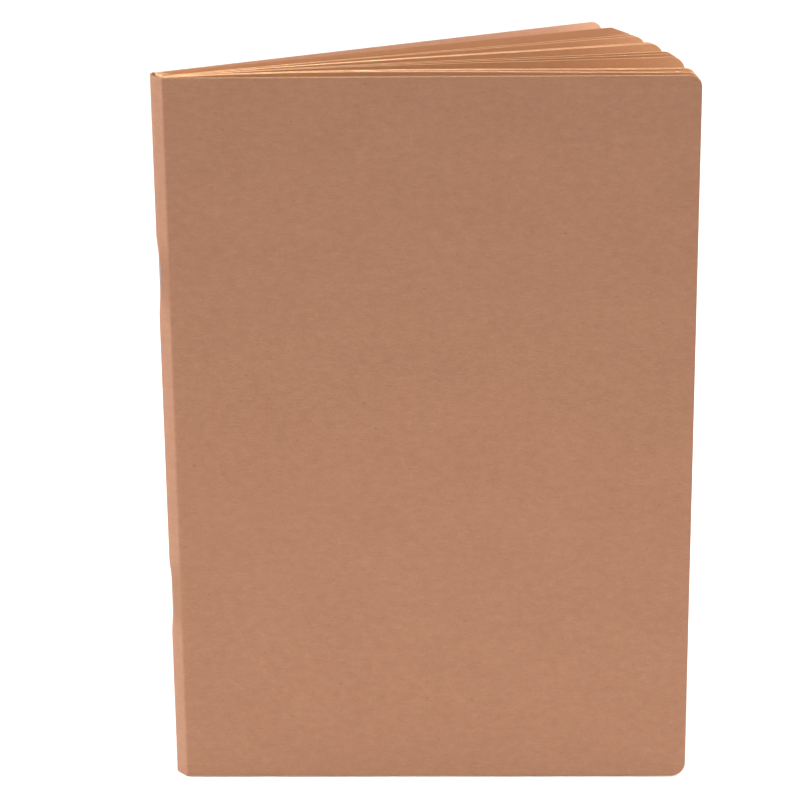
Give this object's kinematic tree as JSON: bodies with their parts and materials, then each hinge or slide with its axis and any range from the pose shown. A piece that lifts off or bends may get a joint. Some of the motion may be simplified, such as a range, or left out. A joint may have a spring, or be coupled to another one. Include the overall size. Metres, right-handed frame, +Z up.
{
  "type": "pocket notebook",
  "caption": "Small saddle-stitched notebook with a soft kraft card cover, rounded fore-edge corners and plain kraft pages, standing part open.",
  "frame": {"origin": "middle of the base of the bounding box, on the surface the notebook stands on", "axes": "+Z up along the spine; +X from the spine to the fore edge, along the front cover; +Y from the front cover to the back cover"},
  "size_m": [0.1058, 0.057, 0.148],
  "materials": {
    "cover_card": "uncoated kraft card with fine fibres",
    "kraft_paper": "uncoated unbleached kraft paper",
    "wire": "bright drawn steel wire"
  },
  "bodies": {
    "spine": {"cover_spine": "cover_card", "upper_staple": "wire", "lower_staple": "wire", "sheet_01_fold": "kraft_paper", "sheet_02_fold": "kraft_paper", "sheet_03_fold": "kraft_paper", "sheet_04_fold": "kraft_paper", "sheet_05_fold": "kraft_paper", "sheet_06_fold": "kraft_paper", "sheet_07_fold": "kraft_paper", "sheet_08_fold": "kraft_paper", "sheet_09_fold": "kraft_paper", "sheet_10_fold": "kraft_paper", "sheet_11_fold": "kraft_paper", "sheet_12_fold": "kraft_paper", "sheet_13_fold": "kraft_paper", "sheet_14_fold": "kraft_paper", "sheet_15_fold": "kraft_paper"},
    "front_cover": {"front_cover": "cover_card"},
    "back_cover": {"back_cover": "cover_card"},
    "front_leaf_01": {"sheet_01_front_leaf": "kraft_paper"},
    "front_leaf_02": {"sheet_02_front_leaf": "kraft_paper"},
    "front_leaf_03": {"sheet_03_front_leaf": "kraft_paper"},
    "front_leaf_04": {"sheet_04_front_leaf": "kraft_paper"},
    "front_leaf_05": {"sheet_05_front_leaf": "kraft_paper"},
    "front_leaf_06": {"sheet_06_front_leaf": "kraft_paper"},
    "front_leaf_07": {"sheet_07_front_leaf": "kraft_paper"},
    "front_leaf_08": {"sheet_08_front_leaf": "kraft_paper"},
    "front_leaf_09": {"sheet_09_front_leaf": "kraft_paper"},
    "front_leaf_10": {"sheet_10_front_leaf": "kraft_paper"},
    "front_leaf_11": {"sheet_11_front_leaf": "kraft_paper"},
    "front_leaf_12": {"sheet_12_front_leaf": "kraft_paper"},
    "front_leaf_13": {"sheet_13_front_leaf": "kraft_paper"},
    "front_leaf_14": {"sheet_14_front_leaf": "kraft_paper"},
    "front_leaf_15": {"sheet_15_front_leaf": "kraft_paper"},
    "back_leaf_01": {"sheet_01_back_leaf": "kraft_paper"},
    "back_leaf_02": {"sheet_02_back_leaf": "kraft_paper"},
    "back_leaf_03": {"sheet_03_back_leaf": "kraft_paper"},
    "back_leaf_04": {"sheet_04_back_leaf": "kraft_paper"},
    "back_leaf_05": {"sheet_05_back_leaf": "kraft_paper"},
    "back_leaf_06": {"sheet_06_back_leaf": "kraft_paper"},
    "back_leaf_07": {"sheet_07_back_leaf": "kraft_paper"},
    "back_leaf_08": {"sheet_08_back_leaf": "kraft_paper"},
    "back_leaf_09": {"sheet_09_back_leaf": "kraft_paper"},
    "back_leaf_10": {"sheet_10_back_leaf": "kraft_paper"},
    "back_leaf_11": {"sheet_11_back_leaf": "kraft_paper"},
    "back_leaf_12": {"sheet_12_back_leaf": "kraft_paper"},
    "back_leaf_13": {"sheet_13_back_leaf": "kraft_paper"},
    "back_leaf_14": {"sheet_14_back_leaf": "kraft_paper"},
    "back_leaf_15": {"sheet_15_back_leaf": "kraft_paper"}
  },
  "joints": [
    {"name": "front_cover_fold", "type": "hinge", "parent": "spine", "child": "front_cover", "pos_m": [-0.04976, -0.02802, 0], "axis": [0, 0, -1], "range_deg": [-24, 66]},
    {"name": "back_cover_fold", "type": "hinge", "parent": "spine", "child": "back_cover", "pos_m": [-0.05131, -0.02454, 0], "axis": [0, 0, 1], "range_deg": [-7, 83]},
    {"name": "front_leaf_01_fold", "type": "hinge", "parent": "spine", "child": "front_leaf_01", "pos_m": [-0.04965, -0.02773, 0], "axis": [0, 0, -1], "range_deg": [-22.8, 62.7]},
    {"name": "front_leaf_02_fold", "type": "hinge", "parent": "spine", "child": "front_leaf_02", "pos_m": [-0.0496, -0.02759, 0], "axis": [0, 0, -1], "range_deg": [-22.56, 62.04]},
    {"name": "front_leaf_03_fold", "type": "hinge", "parent": "spine", "child": "front_leaf_03", "pos_m": [-0.04955, -0.02746, 0], "axis": [0, 0, -1], "range_deg": [-22.08, 60.72]},
    {"name": "front_leaf_04_fold", "type": "hinge", "parent": "spine", "child": "front_leaf_04", "pos_m": [-0.04949, -0.02732, 0], "axis": [0, 0, -1], "range_deg": [-21.12, 58.08]},
    {"name": "front_leaf_05_fold", "type": "hinge", "parent": "spine", "child": "front_leaf_05", "pos_m": [-0.04944, -0.02719, 0], "axis": [0, 0, -1], "range_deg": [-20.88, 57.42]},
    {"name": "front_leaf_06_fold", "type": "hinge", "parent": "spine", "child": "front_leaf_06", "pos_m": [-0.04939, -0.02705, 0], "axis": [0, 0, -1], "range_deg": [-20.64, 56.76]},
    {"name": "front_leaf_07_fold", "type": "hinge", "parent": "spine", "child": "front_leaf_07", "pos_m": [-0.04934, -0.02692, 0], "axis": [0, 0, -1], "range_deg": [-14.4, 39.6]},
    {"name": "front_leaf_08_fold", "type": "hinge", "parent": "spine", "child": "front_leaf_08", "pos_m": [-0.04929, -0.02678, 0], "axis": [0, 0, -1], "range_deg": [-12.72, 34.98]},
    {"name": "front_leaf_09_fold", "type": "hinge", "parent": "spine", "child": "front_leaf_09", "pos_m": [-0.04924, -0.02665, 0], "axis": [0, 0, -1], "range_deg": [-11.4, 31.35]},
    {"name": "front_leaf_10_fold", "type": "hinge", "parent": "spine", "child": "front_leaf_10", "pos_m": [-0.04918, -0.02651, 0], "axis": [0, 0, -1], "range_deg": [-6.72, 18.48]},
    {"name": "front_leaf_11_fold", "type": "hinge", "parent": "spine", "child": "front_leaf_11", "pos_m": [-0.04913, -0.02638, 0], "axis": [0, 0, -1], "range_deg": [-6.48, 17.82]},
    {"name": "front_leaf_12_fold", "type": "hinge", "parent": "spine", "child": "front_leaf_12", "pos_m": [-0.04908, -0.02625, 0], "axis": [0, 0, -1], "range_deg": [-6.24, 17.16]},
    {"name": "front_leaf_13_fold", "type": "hinge", "parent": "spine", "child": "front_leaf_13", "pos_m": [-0.04903, -0.02611, 0], "axis": [0, 0, -1], "range_deg": [-5.88, 16.17]},
    {"name": "front_leaf_14_fold", "type": "hinge", "parent": "spine", "child": "front_leaf_14", "pos_m": [-0.04898, -0.02598, 0], "axis": [0, 0, -1], "range_deg": [-2.04, 5.61]},
    {"name": "front_leaf_15_fold", "type": "hinge", "parent": "spine", "child": "front_leaf_15", "pos_m": [-0.04893, -0.02584, 0], "axis": [0, 0, -1], "range_deg": [-0.96, 2.64]},
    {"name": "back_leaf_01_fold", "type": "hinge", "parent": "spine", "child": "back_leaf_01", "pos_m": [-0.05102, -0.02465, 0], "axis": [0, 0, 1], "range_deg": [-2.94, 34.86]},
    {"name": "back_leaf_02_fold", "type": "hinge", "parent": "spine", "child": "back_leaf_02", "pos_m": [-0.05089, -0.0247, 0], "axis": [0, 0, 1], "range_deg": [-2.87, 34.03]},
    {"name": "back_leaf_03_fold", "type": "hinge", "parent": "spine", "child": "back_leaf_03", "pos_m": [-0.05075, -0.02475, 0], "axis": [0, 0, 1], "range_deg": [-2.8, 33.2]},
    {"name": "back_leaf_04_fold", "type": "hinge", "parent": "spine", "child": "back_leaf_04", "pos_m": [-0.05062, -0.0248, 0], "axis": [0, 0, 1], "range_deg": [-2.66, 31.54]},
    {"name": "back_leaf_05_fold", "type": "hinge", "parent": "spine", "child": "back_leaf_05", "pos_m": [-0.05048, -0.02485, 0], "axis": [0, 0, 1], "range_deg": [-2.52, 29.88]},
    {"name": "back_leaf_06_fold", "type": "hinge", "parent": "spine", "child": "back_leaf_06", "pos_m": [-0.05035, -0.02491, 0], "axis": [0, 0, 1], "range_deg": [-2.38, 28.22]},
    {"name": "back_leaf_07_fold", "type": "hinge", "parent": "spine", "child": "back_leaf_07", "pos_m": [-0.05021, -0.02496, 0], "axis": [0, 0, 1], "range_deg": [-2.1, 24.9]},
    {"name": "back_leaf_08_fold", "type": "hinge", "parent": "spine", "child": "back_leaf_08", "pos_m": [-0.05008, -0.02501, 0], "axis": [0, 0, 1], "range_deg": [-1.96, 23.24]},
    {"name": "back_leaf_09_fold", "type": "hinge", "parent": "spine", "child": "back_leaf_09", "pos_m": [-0.04994, -0.02506, 0], "axis": [0, 0, 1], "range_deg": [-1.82, 21.58]},
    {"name": "back_leaf_10_fold", "type": "hinge", "parent": "spine", "child": "back_leaf_10", "pos_m": [-0.04981, -0.02511, 0], "axis": [0, 0, 1], "range_deg": [-1.12, 13.28]},
    {"name": "back_leaf_11_fold", "type": "hinge", "parent": "spine", "child": "back_leaf_11", "pos_m": [-0.04967, -0.02516, 0], "axis": [0, 0, 1], "range_deg": [-0.98, 11.62]},
    {"name": "back_leaf_12_fold", "type": "hinge", "parent": "spine", "child": "back_leaf_12", "pos_m": [-0.04954, -0.02522, 0], "axis": [0, 0, 1], "range_deg": [-0.84, 9.96]},
    {"name": "back_leaf_13_fold", "type": "hinge", "parent": "spine", "child": "back_leaf_13", "pos_m": [-0.0494, -0.02527, 0], "axis": [0, 0, 1], "range_deg": [-0.7, 8.3]},
    {"name": "back_leaf_14_fold", "type": "hinge", "parent": "spine", "child": "back_leaf_14", "pos_m": [-0.04927, -0.02532, 0], "axis": [0, 0, 1], "range_deg": [-0.56, 6.64]},
    {"name": "back_leaf_15_fold", "type": "hinge", "parent": "spine", "child": "back_leaf_15", "pos_m": [-0.04913, -0.02537, 0], "axis": [0, 0, 1], "range_deg": [-0.35, 4.15]}
  ],
  "couplings": [
    {"joint": "front_leaf_01_fold", "follows": "front_cover_fold", "ratio": 0.95},
    {"joint": "front_leaf_02_fold", "follows": "front_cover_fold", "ratio": 0.94},
    {"joint": "front_leaf_03_fold", "follows": "front_cover_fold", "ratio": 0.92},
    {"joint": "front_leaf_04_fold", "follows": "front_cover_fold", "ratio": 0.88},
    {"joint": "front_leaf_05_fold", "follows": "front_cover_fold", "ratio": 0.87},
    {"joint": "front_leaf_06_fold", "follows": "front_cover_fold", "ratio": 0.86},
    {"joint": "front_leaf_07_fold", "follows": "front_cover_fold", "ratio": 0.6},
    {"joint": "front_leaf_08_fold", "follows": "front_cover_fold", "ratio": 0.53},
    {"joint": "front_leaf_09_fold", "follows": "front_cover_fold", "ratio": 0.475},
    {"joint": "front_leaf_10_fold", "follows": "front_cover_fold", "ratio": 0.28},
    {"joint": "front_leaf_11_fold", "follows": "front_cover_fold", "ratio": 0.27},
    {"joint": "front_leaf_12_fold", "follows": "front_cover_fold", "ratio": 0.26},
    {"joint": "front_leaf_13_fold", "follows": "front_cover_fold", "ratio": 0.245},
    {"joint": "front_leaf_14_fold", "follows": "front_cover_fold", "ratio": 0.085},
    {"joint": "front_leaf_15_fold", "follows": "front_cover_fold", "ratio": 0.04},
    {"joint": "back_leaf_01_fold", "follows": "back_cover_fold", "ratio": 0.42},
    {"joint": "back_leaf_02_fold", "follows": "back_cover_fold", "ratio": 0.41},
    {"joint": "back_leaf_03_fold", "follows": "back_cover_fold", "ratio": 0.4},
    {"joint": "back_leaf_04_fold", "follows": "back_cover_fold", "ratio": 0.38},
    {"joint": "back_leaf_05_fold", "follows": "back_cover_fold", "ratio": 0.36},
    {"joint": "back_leaf_06_fold", "follows": "back_cover_fold", "ratio": 0.34},
    {"joint": "back_leaf_07_fold", "follows": "back_cover_fold", "ratio": 0.3},
    {"joint": "back_leaf_08_fold", "follows": "back_cover_fold", "ratio": 0.28},
    {"joint": "back_leaf_09_fold", "follows": "back_cover_fold", "ratio": 0.26},
    {"joint": "back_leaf_10_fold", "follows": "back_cover_fold", "ratio": 0.16},
    {"joint": "back_leaf_11_fold", "follows": "back_cover_fold", "ratio": 0.14},
    {"joint": "back_leaf_12_fold", "follows": "back_cover_fold", "ratio": 0.12},
    {"joint": "back_leaf_13_fold", "follows": "back_cover_fold", "ratio": 0.1},
    {"joint": "back_leaf_14_fold", "follows": "back_cover_fold", "ratio": 0.08},
    {"joint": "back_leaf_15_fold", "follows": "back_cover_fold", "ratio": 0.05}
  ]
}
